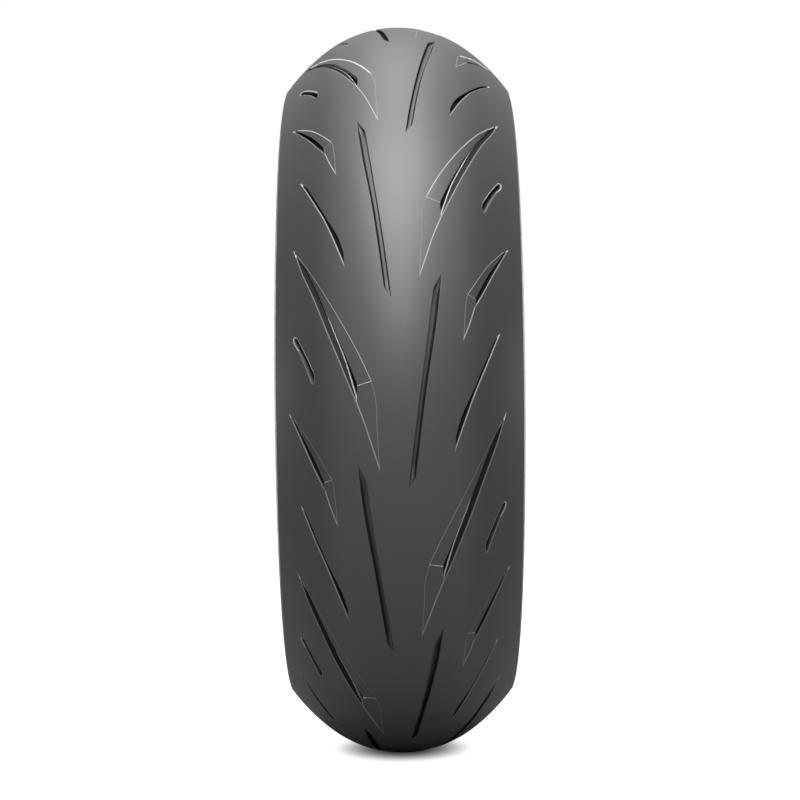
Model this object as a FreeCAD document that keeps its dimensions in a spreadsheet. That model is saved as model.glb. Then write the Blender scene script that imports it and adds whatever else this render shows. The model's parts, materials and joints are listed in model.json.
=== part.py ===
"""A tubeless radial motorcycle rear tyre, 190/55-17, built up layer by layer as it is on the building drum.

The axle is the Y axis and the wheel centre is the origin. Every layer is a turned ring whose half section is
drawn in the (y, z) plane, z being the radius. Distances into the tyre, called depth, are measured square to
the outer surface, so neighbouring layers share one curve. The tread grooves are placed by arc, the distance
over the tread from its centre line in millimetres, and turn, the angle round the axle in degrees.
"""

import FreeCAD, Part
import math
import os

import Sketcher
from FreeCAD import Vector

SIZES = [
    ("tyre_radius", 320.0, "outside radius at the centre of the tread"),
    ("crown_radius", 102.5, "section radius of the middle of the tread"),
    ("crown_angle", 35.9, "where the crown curve meets the shoulder curve, degrees from the centre line"),
    ("shoulder_radius", 164.0, "section radius of the shoulders"),
    ("edge_angle", 53.4, "slope of the surface at the tread edge, degrees"),
    ("half_width", 97.4, "half of the section width"),
    ("widest_radius", 255.0, "radius from the axle at which the sidewalls are widest"),
    ("wall_curve", 20.0, "section radius of the sidewall below its widest point"),
    ("wall_slope", 50.0, "angle that the sidewall turns through below its widest point, degrees"),
    ("flange_curve", 8.0, "section radius of the hollow that sits on the rim flange"),
    ("cushion_reach", 4.0, "length of straight sidewall covered by the rim cushion above the hollow"),
    ("rim_line_rise", 4.0, "distance from the rim cushion up to the fitting line moulded round the sidewall"),
    ("rim_line_height", 0.7, "height of that line"),
    ("rim_line_width", 1.8, "width of that line"),
    ("bead_half_width", 76.2, "half of the rim width, from the wheel's middle to the bead's outer face"),
    ("seat_radius", 218.3, "radius of the bead seat"),
    ("heel_radius", 3.0, "rounding between bead face and bead seat"),
    ("toe_reach", 8.0, "distance of the bead toe from the middle of the bead core"),
    ("toe_chamfer", 1.2, "bevel of the bead toe"),
    ("tread_cap", 7.0, "thickness of the tread compound"),
    ("tread_base", 1.5, "thickness of the rubber under it"),
    ("belt", 1.3, "thickness of the belt with its skim rubber"),
    ("ply", 0.9, "thickness of one carcass ply"),
    ("liner", 1.2, "thickness of the inner liner"),
    ("centre_angle", 22.4, "half of the section angle covered by the harder centre compound, degrees"),
    ("belt_angle", 49.0, "slope of the surface over the belt's edge, degrees"),
    ("turn_radius", 10.0, "section radius of the carcass where it turns down from tread to sidewall"),
    ("wire_radius", 0.95, "radius of one bead wire"),
    ("wire_pitch", 2.1, "distance between neighbouring bead wires"),
    ("wrap_radius", 3.7, "radius of the wrapped bead core"),
    ("filler_height", 18.0, "height of the bead filler above the core"),
    ("outer_turnup", 15.0, "height to which the outer ply is folded up round the bead"),
    ("inner_turnup", 11.0, "height to which the inner ply is folded up round the bead"),
    ("chafer", 0.6, "thickness of the chafer fabric"),
    ("chafer_height", 6.0, "height of the chafer fabric outside the bead"),
    ("face_cushion", 2.0, "rubber between chafer and bead face"),
    ("seat_cushion", 1.4, "rubber between chafer and bead seat"),
    ("liner_end", 25.0, "angle that the liner runs round the bead core, degrees"),
    ("cord_radius", 0.45, "radius of one steel belt cord"),
    ("cord_pitch", 6.0, "distance between turns of the belt cord"),
    ("pitch_count", 7.0, "pattern repeats round the tyre"),
    ("long_pitches", 4.0, "how many of those repeats are long ones"),
    ("long_pitch", 52.4, "angle of a long repeat, degrees"),
    ("left_start", 94.9, "turn at which the left half of the pattern starts, degrees"),
    ("right_start", 121.3, "turn at which the right half of the pattern starts, degrees"),
    ("groove_depth", 5.5, "depth of the main grooves"),
    ("side_depth", 4.2, "depth of the shoulder slots"),
    ("facet_depth", 0.7, "depth of the shallow facets beside the wing grooves"),
    ("groove_bevel", 0.45, "bevel along the groove edges"),
    ("groove_draft", 12.0, "draft angle of the groove walls, degrees"),
]

# Groove outlines. Each row is one station across the groove: arc and turn of its outer edge, arc and turn of
# its inner edge, and the share of the full depth there. A turn of 0 is where the centre groove starts.
CENTRE_GROOVE = [
    (33.9, 0.0, 33.4, 0.0, 0.15),
    (32.0, -2.9, 25.9, -2.7, 0.6),
    (29.9, -6.2, 23.4, -6.0, 1.0),
    (11.8, -28.3, 7.2, -27.5, 1.0),
    (5.7, -30.6, 5.4, -30.5, 0.15),
]
WING_GROOVE = [
    (92.2, -19.8, 91.6, -19.6, 0.2),
    (87.5, -22.4, 85.0, -21.5, 1.0),
    (70.0, -29.0, 66.5, -27.7, 1.0),
    (51.4, -36.7, 46.5, -35.0, 1.0),
    (38.5, -42.4, 32.9, -41.6, 1.0),
    (31.3, -45.5, 30.9, -45.3, 0.15),
]
SMALL_WING_GROOVE = [
    (97.8, 6.1, 97.3, 6.5, 0.2),
    (92.0, 4.2, 90.2, 4.8, 0.9),
    (80.5, 1.0, 77.0, 1.5, 1.0),
    (64.9, -4.4, 60.3, -4.0, 1.0),
    (61.8, -5.4, 60.8, -5.3, 0.3),
]
SIDE_GROOVE = [
    (86.2, -8.2, 85.6, -7.9, 0.2),
    (82.4, -10.1, 80.0, -9.1, 1.0),
    (65.6, -15.8, 62.4, -15.1, 1.0),
    (49.4, -22.2, 44.6, -21.4, 1.0),
    (42.3, -25.4, 41.9, -25.3, 0.15),
]
SLOT = [
    (92.2, -34.9, 90.6, -34.3, 0.5),
    (89.4, -36.0, 86.6, -35.2, 1.0),
    (74.6, -41.0, 71.2, -40.0, 1.0),
    (72.8, -41.7, 70.4, -41.1, 0.5),
]
WING_FACET = [
    (82.6, -23.6, 82.0, -22.9, 1.0),
    (69.5, -28.3, 66.6, -26.7, 1.0),
    (46.0, -37.2, 38.0, -35.2, 1.0),
    (34.6, -42.3, 21.1, -41.2, 1.0),
    (31.0, -45.4, 18.1, -46.6, 1.0),
    (16.9, -52.5, 16.3, -52.6, 1.0),
]
SMALL_WING_FACET = [
    (90.8, 4.7, 90.4, 5.1, 1.0),
    (74.0, 0.4, 72.4, 1.5, 1.0),
    (62.6, -4.0, 54.8, -2.9, 1.0),
    (60.4, -5.4, 52.6, -4.5, 1.0),
    (50.0, -10.1, 49.5, -10.2, 1.0),
]

doc = FreeCAD.newDocument("motorcycle_tyre")
sheet = doc.addObject("Spreadsheet::Sheet", "Sizes")
for row, (alias, value, meaning) in enumerate(SIZES, start=1):
    sheet.set(f"A{row}", meaning)
    sheet.set(f"B{row}", str(value))
    sheet.setAlias(f"B{row}", alias)
doc.recompute()


def size(*names):
    """The sum of the named cells."""
    return sum(float(getattr(sheet, name)) for name in names)


def polar(angle):
    """Unit vector of a section at an angle in degrees from the radius, leaning towards the right side."""
    return Vector(math.sin(math.radians(angle)), math.cos(math.radians(angle)), 0)


# ---- the section's skeleton: depths, centres and angles from which every layer is drawn ----

TREAD = ("tread_cap", "tread_base")
CASING = TREAD + ("belt",)
PLIES = ("ply", "ply")
CROWN_CENTRE = Vector(0, size("tyre_radius") - size("crown_radius"), 0)
SHOULDER_CENTRE = CROWN_CENTRE + polar(size("crown_angle")) * (size("crown_radius") - size("shoulder_radius"))
TURN_RANGE = size("shoulder_radius") - size("turn_radius", *CASING)
TURN_CENTRE = SHOULDER_CENTRE + polar(size("edge_angle")) * TURN_RANGE
BEAD_PACK = size("wrap_radius", "chafer", *PLIES)
CORE_CENTRE = Vector(
    size("bead_half_width") - size("face_cushion") - BEAD_PACK,
    size("seat_radius", "seat_cushion") + BEAD_PACK,
    0,
)


def casing_lean():
    """Angle of the casing's outer normal on the straight run that touches both the turn and the bead core."""
    reach = CORE_CENTRE - TURN_CENTRE
    bearing = math.degrees(math.atan2(reach.x, reach.y)) % 360
    return bearing + math.degrees(math.asin(size("turn_radius", "wrap_radius") / reach.Length)) - 90


LEAN = casing_lean()
FOLD = 2 * math.degrees(math.atan(size("wrap_radius") / size("filler_height")))
WRAP_TURN = 180 + FOLD


class Arc:
    """An arc of a section, swept in polar() angles; cells is the formula that binds its radius to the sheet."""

    def __init__(self, centre, radius, first, last, cells):
        self.centre, self.radius, self.first, self.last, self.cells = centre, radius, first, last, cells
        self.start = centre + polar(first) * radius
        self.end = centre + polar(last) * radius

    def flipped(self):
        return Arc(self.centre, self.radius, self.last, self.first, self.cells)

    def mirrored(self):
        centre = Vector(-self.centre.x, self.centre.y, 0)
        return Arc(centre, self.radius, -self.first, -self.last, self.cells)

    def curve(self):
        low, high = sorted((self.first, self.last))
        circle = Part.Circle(self.centre, Vector(0, 0, 1), self.radius)
        return Part.ArcOfCircle(circle, math.radians(90 - high), math.radians(90 - low))

    def ends(self):
        """Sketcher numbers of the start and end points: its arcs run against polar()."""
        return (2, 1) if self.last > self.first else (1, 2)


class Line:
    """A straight stretch of a section."""

    cells = None

    def __init__(self, start, end):
        self.start, self.end = start, end

    def flipped(self):
        return Line(self.end, self.start)

    def mirrored(self):
        return Line(Vector(-self.start.x, self.start.y, 0), Vector(-self.end.x, self.end.y, 0))

    def curve(self):
        return Part.LineSegment(self.start, self.end)

    def ends(self):
        return (1, 2)


class Round:
    """A full circle of a section."""

    def __init__(self, centre, cell):
        self.centre, self.cell = centre, cell
        self.radius, self.cells = size(cell), f"Sizes.{cell}"

    def mirrored(self):
        return Round(Vector(-self.centre.x, self.centre.y, 0), self.cell)

    def curve(self):
        return Part.Circle(self.centre, Vector(0, 0, 1), self.radius)


def back(path):
    """The path run from its end to its start."""
    return [piece.flipped() for piece in reversed(path)]


def other_side(path):
    """The path mirrored in the tyre's middle plane."""
    return [piece.mirrored() for piece in path]


def through(*points):
    """Straight stretches from point to point."""
    return [Line(a, b) for a, b in zip(points, points[1:])]


WIRE_SIDES = 8


def wire(centre, cell):
    """The loop round one wire of the radius in a cell, drawn with eight flat sides."""
    corners = [centre + polar(360 * side / WIRE_SIDES) * size(cell) for side in range(WIRE_SIDES)]
    return through(*corners, corners[0])


def closed(outer, inner):
    """The loop between two paths that run the same way."""
    return outer + through(outer[-1].end, inner[-1].end) + back(inner) + through(inner[0].start, outer[0].start)


def formula(base, sign, cells):
    return f" {sign} ".join(f"Sizes.{name}" for name in (base,) + tuple(cells))


# ---- the curves that the layers share ----


def tread_curve(depth, first, last):
    """The tread's curve at a depth from one slope to another; a slope left of the centre line is negative."""
    crown = size("crown_angle")
    path = []
    if first < -crown:
        path = back(other_side(tread_curve(depth, crown, -first)))
        first = -crown
    if first < crown:
        radius = size("crown_radius") - size(*depth)
        path.append(Arc(CROWN_CENTRE, radius, first, min(last, crown), formula("crown_radius", "-", depth)))
        first = crown
    if last > crown:
        radius = size("shoulder_radius") - size(*depth)
        path.append(Arc(SHOULDER_CENTRE, radius, first, last, formula("shoulder_radius", "-", depth)))
    return path


def casing_wall(layers):
    """From the tread edge down to the bead core, inside the given layers of the casing."""
    radius = size("turn_radius") - size(*layers)
    turn = Arc(TURN_CENTRE, radius, size("edge_angle"), LEAN, formula("turn_radius", "-", layers))
    return [turn, Line(turn.end, beside_filler(layers, 0, folded=False))]


def beside_filler(layers, height, folded):
    """A point beside the filler outside the given layers, on the casing side or on the folded-up side."""
    normal = polar(LEAN - FOLD) if folded else polar(LEAN) * -1
    up = Vector(-polar(LEAN).y, polar(LEAN).x, 0)
    if folded:
        up = Vector(-normal.y, normal.x, 0)
    return CORE_CENTRE + normal * size("wrap_radius", *layers) + up * height


def round_core(layers, first, last):
    """Round the bead core outside the given layers, in degrees from where the casing meets it."""
    radius = size("wrap_radius", *layers)
    start = LEAN + 180
    return Arc(CORE_CENTRE, radius, start - first, start - last, formula("wrap_radius", "+", layers))


def folded_up(layers, height):
    """Up the folded side of the filler outside the given layers."""
    return Line(beside_filler(layers, 0, folded=True), beside_filler(layers, height, folded=True))


def bead_to_bead(layers, tail):
    """The casing's curve inside the given layers, with the tail's path at the end of each side."""
    edge = size("edge_angle")
    side = casing_wall(layers) + tail
    return back(other_side(side)) + tread_curve(CASING + layers, -edge, edge) + side


def tread_edge(depth):
    """The tread's outer corner at a depth."""
    return tread_curve(depth, size("crown_angle"), size("edge_angle"))[-1].end


def upper_wall():
    """The sidewall's outside from the tread edge past its widest point to its straight part."""
    corner = tread_edge(())
    drop = corner.y - size("widest_radius")
    inset = size("half_width") - corner.x
    radius = (drop**2 + inset**2) / (2 * inset)
    centre = Vector(size("half_width") - radius, size("widest_radius"), 0)
    lean = math.degrees(math.atan2(corner.x - centre.x, drop))
    under = Vector(size("half_width") - size("wall_curve"), size("widest_radius"), 0)
    return [
        Arc(centre, radius, lean, 90, None),
        Arc(under, size("wall_curve"), 90, 90 + size("wall_slope"), "Sizes.wall_curve"),
    ]


def flange_hollow():
    """The hollow that sits on the rim flange, where the straight part of the sidewall ends."""
    top = upper_wall()[-1].end
    slope = math.radians(size("wall_slope"))
    hollow = size("flange_curve")
    run = (top.x - size("bead_half_width") - hollow * (1 - math.cos(slope))) / math.sin(slope)
    height = top.y - run * math.cos(slope) - hollow * math.sin(slope)
    centre = Vector(size("bead_half_width") + hollow, height, 0)
    return Arc(centre, hollow, size("wall_slope") - 90, -90, "Sizes.flange_curve")


def up_the_wall(distance, proud=0.0):
    """A point on the straight part of the sidewall, so far above the hollow and so far proud of the rubber."""
    slope = 90 + size("wall_slope")
    upwards = Vector(-polar(slope).y, polar(slope).x, 0)
    return flange_hollow().start + upwards * distance + polar(slope) * proud


# ---- sketches and turned bodies ----


def draw(sketch, loop):
    """Adds a closed loop to a sketch, joined end to end, with its radii bound to the sheet."""
    first = sketch.GeometryCount
    sketch.addGeometry([piece.curve() for piece in loop], False)
    for number, piece in enumerate(loop, start=first):
        if len(loop) > 1:
            following = (number - first + 1) % len(loop)
            joint = (number, piece.ends()[1], first + following, loop[following].ends()[0])
            sketch.addConstraint(Sketcher.Constraint("Coincident", *joint))
        if piece.cells:
            radius = sketch.addConstraint(Sketcher.Constraint("Radius", number, piece.radius))
            sketch.setExpression(f"Constraints[{radius}]", piece.cells)


def ring(label, *loops):
    """A body turned round the axle from a section: its outline, and any holes in it."""
    body = doc.addObject("PartDesign::Body", label)
    sketch = body.newObject("Sketcher::SketchObject", f"{label}_section")
    plane = next(feature for feature in body.Origin.OriginFeatures if feature.Role == "YZ_Plane")
    sketch.AttachmentSupport = [(plane, "")]
    sketch.MapMode = "FlatFace"
    for loop in loops:
        draw(sketch, loop)
    turned = body.newObject("PartDesign::Revolution", f"{label}_turned")
    turned.Profile = sketch
    turned.ReferenceAxis = (sketch, ["H_Axis"])
    turned.Angle = 360
    body.Tip = turned
    return body


def pair(name, *loops):
    """The same ring on the right and, mirrored, on the left."""
    return [ring(f"{name}_right", *loops), ring(f"{name}_left", *[other_side(loop) for loop in loops])]


# ---- the grooves ----

GROOVE_CLEARANCE = 1.5  # how far the groove cutters stand out of the tread
STATION_STEP = 4.0  # largest turn between two sections of a cutter, degrees


def tread_spot(arc):
    """Centre, slope in degrees and radius of the section at an arc over the tread from its centre line."""
    crown_arc = size("crown_radius") * math.radians(size("crown_angle"))
    if abs(arc) <= crown_arc:
        return CROWN_CENTRE, math.degrees(arc / size("crown_radius")), size("crown_radius")
    slope = size("crown_angle") + math.degrees((abs(arc) - crown_arc) / size("shoulder_radius"))
    centre = Vector(math.copysign(1, arc) * SHOULDER_CENTRE.x, SHOULDER_CENTRE.y, 0)
    return centre, math.copysign(slope, arc), size("shoulder_radius")


def swung(vector, turn):
    """A vector of the section carried to a turn round the axle."""
    angle = math.radians(turn)
    return Vector(vector.y * math.cos(angle), vector.x, vector.y * math.sin(angle))


def on_tread(arc, turn):
    """A point of the tread surface and the way out of the rubber there."""
    centre, slope, radius = tread_spot(arc)
    return swung(centre + polar(slope) * radius, turn), swung(polar(slope), turn)


def cutter_section(outer, inner, depth):
    """Corners of a groove cutter between two edge points: bevelled edges, drafted walls and a flat floor."""
    start, start_normal = on_tread(*outer)
    end, end_normal = on_tread(*inner)
    outwards = (start_normal + end_normal).normalize()
    across = end - start
    across -= outwards * across.dot(outwards)
    half = across.Length / 2
    across.normalize()
    middle = (start + end) / 2
    bevel = min(size("groove_bevel"), half / 2, depth / 2)
    floor_half = max(half - bevel - (depth - bevel) * math.tan(math.radians(size("groove_draft"))), half / 4)
    profile = [(half + GROOVE_CLEARANCE, GROOVE_CLEARANCE), (half - bevel, -bevel), (floor_half, -depth)]
    right = [middle + across * width + outwards * height for width, height in profile]
    left = [middle - across * width + outwards * height for width, height in profile]
    return right + left[::-1]


def edge_curve(points, travel):
    """A smooth curve through points of arc, turn and share, with the turn travelled as its parameter."""
    curve = Part.BSplineCurve()
    curve.interpolate(Points=points, Parameters=travel)
    return curve


def stretch_sections(rows, side, depth):
    """The cutter's sections along a smooth stretch through its rows, close enough to follow the round tread."""
    travel = [(rows[0][1] + rows[0][3] - row[1] - row[3]) / 2 for row in rows]
    outer = edge_curve([Vector(side * row[0], row[1], row[4]) for row in rows], travel)
    inner = edge_curve([Vector(side * row[2], row[3], row[4]) for row in rows], travel)
    steps = max(1, math.ceil(travel[-1] / STATION_STEP))
    sections = []
    for step in range(steps + 1):
        spot = travel[-1] * step / steps
        start, end = outer.value(spot), inner.value(spot)
        sections.append(cutter_section((start.x, start.y), (end.x, end.y), depth * min(1.0, start.z)))
    return sections


def cutter(stretches, side, depth):
    """A cutter along stretches that follow one another, its faces ruled between the rails along its corners."""
    faces = []
    ends = []
    for rows in stretches:
        sections = stretch_sections(rows, side, depth)
        rails = []
        for corners in zip(*sections):
            rail = Part.BSplineCurve()
            rail.interpolate(Points=list(corners))
            rails.append(rail.toShape())
        faces += [Part.makeRuledSurface(a, b) for a, b in zip(rails, rails[1:] + rails[:1])]
        ends += [sections[0], sections[-1]]
    for corners in (ends[0], ends[-1]):
        faces.append(Part.Face(Part.makePolygon(corners + corners[:1])))
    shell = Part.makeShell(faces)
    shell.sewShape()
    solid = Part.makeSolid(shell)
    if solid.Volume < 0:
        solid.reverse()
    return solid


def groove(rows, side, depth):
    """A groove: a short tapered stretch at each tip and one smooth stretch between."""
    return cutter([rows[:2], rows[1:-1], rows[-2:]], side, depth)


def facet(rows, side, depth):
    """A shallow facet with a corner at every row."""
    return cutter(list(zip(rows, rows[1:])), side, depth)


def pitch_starts():
    """Turns from the first repeat of the pattern to each of the others, a long repeat first."""
    count, longs = round(size("pitch_count")), round(size("long_pitches"))
    short = (360 - longs * size("long_pitch")) / (count - longs)
    pitches = [size("long_pitch")] * longs + [short] * (count - longs)
    return [-sum(pitches[:number]) for number in range(count)]


def cutters(first_turn, side, *elements):
    """All cutters of the given pattern elements on one half of the tread."""
    cut = []
    for element in elements:
        shapes = [shape(rows, side, size(depth)) for shape, rows, depth in element]
        fused = shapes[0].multiFuse(shapes[1:]) if len(shapes) > 1 else shapes[0]
        for turn in pitch_starts():
            copy = fused.copy()
            copy.rotate(Vector(0, 0, 0), Vector(0, 1, 0), -(first_turn + turn))
            cut.append(copy)
    return cut


def grooved(label, blank, shapes):
    """The blank with the cutters' shapes taken out of it."""
    tool = doc.addObject("Part::Feature", f"{label}_cutters")
    tool.Shape = Part.makeCompound(shapes)
    cut = doc.addObject("Part::Cut", label)
    cut.Base = blank
    cut.Tool = tool
    return cut


CENTRE = [(groove, CENTRE_GROOVE, "groove_depth")]
WING = [(groove, WING_GROOVE, "groove_depth"), (facet, WING_FACET, "facet_depth")]
SMALL_WING = [(groove, SMALL_WING_GROOVE, "side_depth"), (facet, SMALL_WING_FACET, "facet_depth")]
SIDE = [(groove, SIDE_GROOVE, "side_depth")]
SLOTS = [(groove, SLOT, "side_depth")]


# ---- the pieces ----


def tread_caps():
    """The three strips of tread compound: a harder one in the middle and a softer one on each shoulder."""
    middle, edge, cap = size("centre_angle"), size("edge_angle"), ("tread_cap",)
    shoulder = closed(tread_curve((), middle, edge), tread_curve(cap, middle, edge))
    centre = closed(tread_curve((), -middle, middle), tread_curve(cap, -middle, middle))
    sides = {1: size("right_start"), -1: size("left_start")}
    centre_cut = [solid for side, start in sides.items() for solid in cutters(start, side, CENTRE, WING)]
    caps = [grooved("tread_cap_centre", ring("centre_blank", centre), centre_cut)]
    for name, side, loop in (("right", 1, shoulder), ("left", -1, other_side(shoulder))):
        cut = cutters(sides[side], side, WING, SMALL_WING, SIDE, SLOTS)
        caps.append(grooved(f"tread_cap_{name}", ring(f"{name}_blank", loop), cut))
    return caps


def tread_underlay():
    edge = size("edge_angle")
    return ring("tread_base", closed(tread_curve(("tread_cap",), -edge, edge), tread_curve(TREAD, -edge, edge)))


def belt_cords():
    """Where each turn of the steel belt cord lies in the section."""
    edge_arc = size("crown_radius") * math.radians(size("crown_angle"))
    edge_arc += size("shoulder_radius") * math.radians(size("belt_angle") - size("crown_angle"))
    turns = math.floor(edge_arc / size("cord_pitch") - 0.5)
    places = []
    for number in range(-turns, turns + 1):
        centre, slope, radius = tread_spot(number * size("cord_pitch"))
        places.append(centre + polar(slope) * (radius - size(*TREAD) - size("belt") / 2))
    return [wire(place, "cord_radius") for place in places]


def belt():
    """The steel belt cord, the skim rubber that it lies in, and the strip along each edge."""
    side, edge = size("belt_angle"), size("edge_angle")
    cords = belt_cords()
    skim = closed(tread_curve(TREAD, -side, side), tread_curve(CASING, -side, side))
    strip = closed(tread_curve(TREAD, side, edge), tread_curve(CASING, side, edge))
    return [ring("belt_cord", *cords), ring("belt_skim", skim, *cords)] + pair("belt_edge_strip", strip)


def ply(label, outside, turnup):
    """A carcass ply from bead to bead, folded up round each of them to the height in the turnup cell."""
    inside = outside + ("ply",)
    tails = [[round_core(layers, 0, WRAP_TURN), folded_up(layers, size(turnup))] for layers in (outside, inside)]
    return ring(label, closed(bead_to_bead(outside, tails[0]), bead_to_bead(inside, tails[1])))


def liner():
    """The airtight inside layer, which ends at the bead toes."""
    inside = PLIES + ("liner",)
    tails = [[round_core(layers, 0, size("liner_end"))] for layers in (PLIES, inside)]
    return ring("inner_liner", closed(bead_to_bead(PLIES, tails[0]), bead_to_bead(inside, tails[1])))


def bead_wires():
    """The bundle of bead wires: one in the middle and six round it, on a triangular grid."""
    wires = []
    for row in range(-1, 2):
        for place in range(-1, 2):
            if abs(row + place) <= 1:
                step = Vector(place + row / 2, row * math.sqrt(3) / 2, 0)
                wires.append(wire(CORE_CENTRE + step * size("wire_pitch"), "wire_radius"))
    return wires


def beads():
    """Bead wires, the wrap round them and the wedge of hard filler above, on each side."""
    apex = beside_filler((), size("filler_height"), folded=True)
    over_core = Arc(CORE_CENTRE, size("wrap_radius"), LEAN - FOLD, LEAN - 180, "Sizes.wrap_radius")
    filler = through(apex, over_core.start) + [over_core] + through(over_core.end, apex)
    wires = bead_wires()
    pieces = pair("bead_wires", *wires) + pair("bead_wrap", [Round(CORE_CENTRE, "wrap_radius")], *wires)
    return pieces + pair("bead_filler", filler)


def chafers():
    """The fabric strip round each bead that takes the rubbing of the rim."""
    outside = PLIES + ("chafer",)
    paths = []
    for layers in (PLIES, outside):
        paths.append([round_core(layers, size("liner_end"), WRAP_TURN), folded_up(layers, size("chafer_height"))])
    return pair("chafer", closed(*paths))


def rim_cushions():
    """The hard rubber that bears on the rim: bead face, heel, seat and toe."""
    seat, heel, face = size("seat_radius"), size("heel_radius"), size("bead_half_width")
    toe, bevel = CORE_CENTRE.x - size("toe_reach"), size("toe_chamfer")
    hollow = flange_hollow()
    heel_arc = Arc(Vector(face - heel, seat + heel, 0), heel, 90, 180, "Sizes.heel_radius")
    chafer_side = round_core(PLIES + ("chafer",), size("liner_end"), WRAP_TURN)
    chafer_up = folded_up(PLIES + ("chafer",), size("chafer_height"))
    loop = through(up_the_wall(size("cushion_reach")), hollow.start) + [hollow]
    loop += through(hollow.end, heel_arc.start) + [heel_arc]
    loop += through(
        heel_arc.end,
        Vector(toe + bevel, seat, 0),
        Vector(toe, seat + bevel, 0),
        round_core(PLIES + ("liner",), 0, size("liner_end")).end,
        chafer_side.start,
    )
    loop += [chafer_side, chafer_up]
    loop += through(
        chafer_up.end,
        beside_filler(PLIES, size("chafer_height"), folded=True),
        beside_filler(PLIES, size("inner_turnup"), folded=True),
        beside_filler(("ply",), size("inner_turnup"), folded=True),
        beside_filler(("ply",), size("outer_turnup"), folded=True),
        up_the_wall(size("cushion_reach")),
    )
    return pair("rim_cushion", loop)


def sidewalls():
    """The sidewall rubber with its fitting line, from the tread edge down to the rim cushion."""
    wall = upper_wall()
    line_low = size("cushion_reach", "rim_line_rise")
    line_high = line_low + size("rim_line_width")
    ramp = size("rim_line_height") / 2
    casing = casing_wall(())
    loop = wall + through(
        wall[-1].end,
        up_the_wall(line_high),
        up_the_wall(line_high - ramp, size("rim_line_height")),
        up_the_wall(line_low + ramp, size("rim_line_height")),
        up_the_wall(line_low),
        up_the_wall(size("cushion_reach")),
        beside_filler(("ply",), size("outer_turnup"), folded=True),
        beside_filler((), size("outer_turnup"), folded=True),
        beside_filler((), size("filler_height"), folded=True),
        casing[0].end,
    )
    loop += back(casing[:1]) + through(casing[0].start, wall[0].start)
    return pair("sidewall", loop)


PIECES = [
    *tread_caps(),
    tread_underlay(),
    *belt(),
    ply("carcass_ply_outer", (), "outer_turnup"),
    ply("carcass_ply_inner", ("ply",), "inner_turnup"),
    liner(),
    *sidewalls(),
    *beads(),
    *chafers(),
    *rim_cushions(),
]
doc.recompute()

for item in doc.Objects:
    if "Invalid" in item.State or "Error" in item.State:
        raise RuntimeError(f"{item.Label} did not recompute: {item.State}")
for piece in PIECES:
    if piece.Shape.isNull() or not piece.Shape.isValid() or not piece.Shape.Solids:
        raise RuntimeError(f"{piece.Label} is not a valid solid")

os.makedirs("parts", exist_ok=True)
for piece in PIECES:
    piece.Shape.exportStep(f"parts/{piece.Label}.step")
    print(f"{piece.Label:20} {len(piece.Shape.Solids):3} solid(s) {piece.Shape.Volume / 1000:9.2f} cm3")
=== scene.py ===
import json
import math

import bmesh
import bpy
import numpy as np
from mathutils import Matrix, Vector
from mathutils.geometry import delaunay_2d_cdt
from mathutils.kdtree import KDTree


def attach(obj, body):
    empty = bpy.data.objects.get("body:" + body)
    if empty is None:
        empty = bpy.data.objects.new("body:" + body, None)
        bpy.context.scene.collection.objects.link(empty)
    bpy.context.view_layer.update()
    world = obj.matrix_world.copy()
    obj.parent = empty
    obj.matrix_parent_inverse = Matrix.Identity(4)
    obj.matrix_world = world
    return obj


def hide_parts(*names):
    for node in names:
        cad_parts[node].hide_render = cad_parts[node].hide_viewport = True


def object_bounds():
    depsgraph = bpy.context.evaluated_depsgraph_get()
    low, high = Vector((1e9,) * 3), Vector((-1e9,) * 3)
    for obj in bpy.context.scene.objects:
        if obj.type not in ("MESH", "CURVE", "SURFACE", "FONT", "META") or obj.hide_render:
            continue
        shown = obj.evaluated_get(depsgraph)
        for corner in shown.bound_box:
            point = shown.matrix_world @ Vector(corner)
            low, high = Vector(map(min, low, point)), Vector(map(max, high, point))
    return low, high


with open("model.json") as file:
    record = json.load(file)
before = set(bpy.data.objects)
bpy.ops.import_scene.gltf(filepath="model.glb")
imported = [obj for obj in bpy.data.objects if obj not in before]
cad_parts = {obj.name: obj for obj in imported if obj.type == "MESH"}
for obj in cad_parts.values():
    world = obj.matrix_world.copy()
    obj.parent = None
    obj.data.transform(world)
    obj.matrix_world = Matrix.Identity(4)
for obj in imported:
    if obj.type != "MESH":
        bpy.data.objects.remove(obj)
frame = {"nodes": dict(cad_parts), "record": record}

# A 190/55-17 radial rear tyre. The axle is Y, the wheel centre is the origin and Z is up. A place on the
# tread is given by its arc, the distance over the rubber from the centre line, and its turn round the axle,
# counted from +X towards +Z. Lengths named here are in metres and angles in degrees.

MM = 0.001
CAD_LOW, CAD_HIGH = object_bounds()
TYRE_RADIUS = (CAD_HIGH[2] - CAD_LOW[2]) / 2
CROWN_RADIUS, CROWN_ANGLE = 102.5 * MM, 35.9
SHOULDER_RADIUS, EDGE_ANGLE = 164.0 * MM, 53.4
TREAD_THICKNESS = 7.0 * MM
CROWN_ARC = CROWN_RADIUS * math.radians(CROWN_ANGLE)
EDGE_ARC = CROWN_ARC + SHOULDER_RADIUS * math.radians(EDGE_ANGLE - CROWN_ANGLE)

# The pattern: long repeats first, then short ones, which breaks up the tyre's hum. The right half is the
# left half mirrored and set on by half a repeat.
REPEATS, LONG_REPEATS, LONG_REPEAT = 7, 4, 52.4
SHORT_REPEAT = (360 - LONG_REPEATS * LONG_REPEAT) / (REPEATS - LONG_REPEATS)
LEFT_START, RIGHT_START = 94.9, 121.3

MAIN_DEPTH, SIDE_DEPTH = 5.5 * MM, 4.2 * MM
FACET_DEPTH, TAIL_DEPTH = 0.7 * MM, 0.35 * MM
LEAN_DEPTH = 2.2 * MM

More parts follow.
